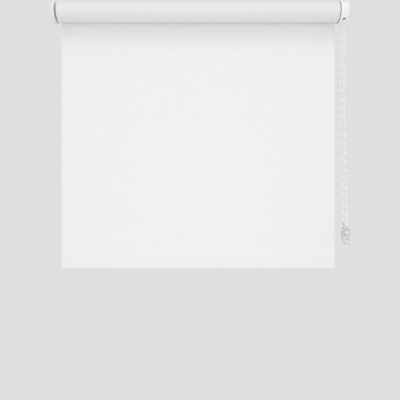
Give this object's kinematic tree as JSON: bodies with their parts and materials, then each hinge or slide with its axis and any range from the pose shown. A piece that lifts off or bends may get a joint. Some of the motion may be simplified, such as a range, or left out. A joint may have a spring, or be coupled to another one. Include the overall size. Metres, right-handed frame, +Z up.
{
  "type": "roller blind",
  "caption": "Narrow roller blind: fabric on a tube between two glued brackets, lowered and raised by a bead chain held taut by a wall guide.",
  "frame": {"origin": "centre of the back face of the idle bracket's adhesive pad, on the wall or window frame", "axes": "+X along the roller from the idle end to the control end, +Y into the wall or window frame, +Z up"},
  "size_m": [0.4133, 0.039, 0.3755],
  "materials": {
    "white_plastic": "smooth moulded white",
    "grey_plastic": "moulded grey, hidden in the tube",
    "clear_plastic": "clear moulded",
    "white_fabric": "fine plain weave, slightly translucent",
    "chain_plastic": "white beads on a white cord",
    "tube_metal": "drawn tube",
    "steel": "zinc plated",
    "foam": "closed-cell adhesive foam"
  },
  "bodies": {
    "mounting": {"idle_pad": "foam", "idle_bracket": "white_plastic", "idle_cap": "white_plastic", "control_pad": "foam", "control_bracket": "white_plastic", "housing_cover": "white_plastic", "clutch_hub": "grey_plastic", "hub_retainer": "steel", "chain_loop": "chain_plastic", "chain_connector": "clear_plastic", "chain_guide": "clear_plastic", "guide_pad": "foam", "fabric_panel": "white_fabric"},
    "roller": {"roller_tube": "tube_metal", "fabric_tape": "foam", "fabric_roll": "white_fabric", "idle_plug": "grey_plastic", "pin_spring": "steel", "pin_retainer": "grey_plastic", "drive_plug": "grey_plastic", "chain_wheel": "grey_plastic", "clutch_spring": "steel", "chain_over_wheel": "chain_plastic"},
    "release_pin": {"idle_pin": "steel"},
    "bottom_rail": {"hem_pocket": "white_fabric", "bottom_bar": "steel", "bar_cap_left": "white_plastic", "bar_cap_right": "white_plastic"}
  },
  "joints": [
    {"name": "roller_spin", "type": "hinge", "parent": "mounting", "child": "roller", "pos_m": [0.188, -0.024, -0.008], "axis": [1, 0, 0], "range_deg": [-4680, 1440]},
    {"name": "rail_travel", "type": "slide", "parent": "mounting", "child": "bottom_rail", "axis": [0, 0, 1], "range_m": [-1.052, 0.324], "deforming": ["fabric_panel"]},
    {"name": "idle_pin_press", "type": "slide", "parent": "roller", "child": "release_pin", "axis": [1, 0, 0], "range_m": [0, 0.005], "stiffness_N_per_m": 400, "springref_m": -0.004, "deforming": ["pin_spring"]}
  ],
  "couplings": [
    {"joint": "rail_travel", "follows": "roller_spin", "m_per_rad": 0.01287}
  ]
}
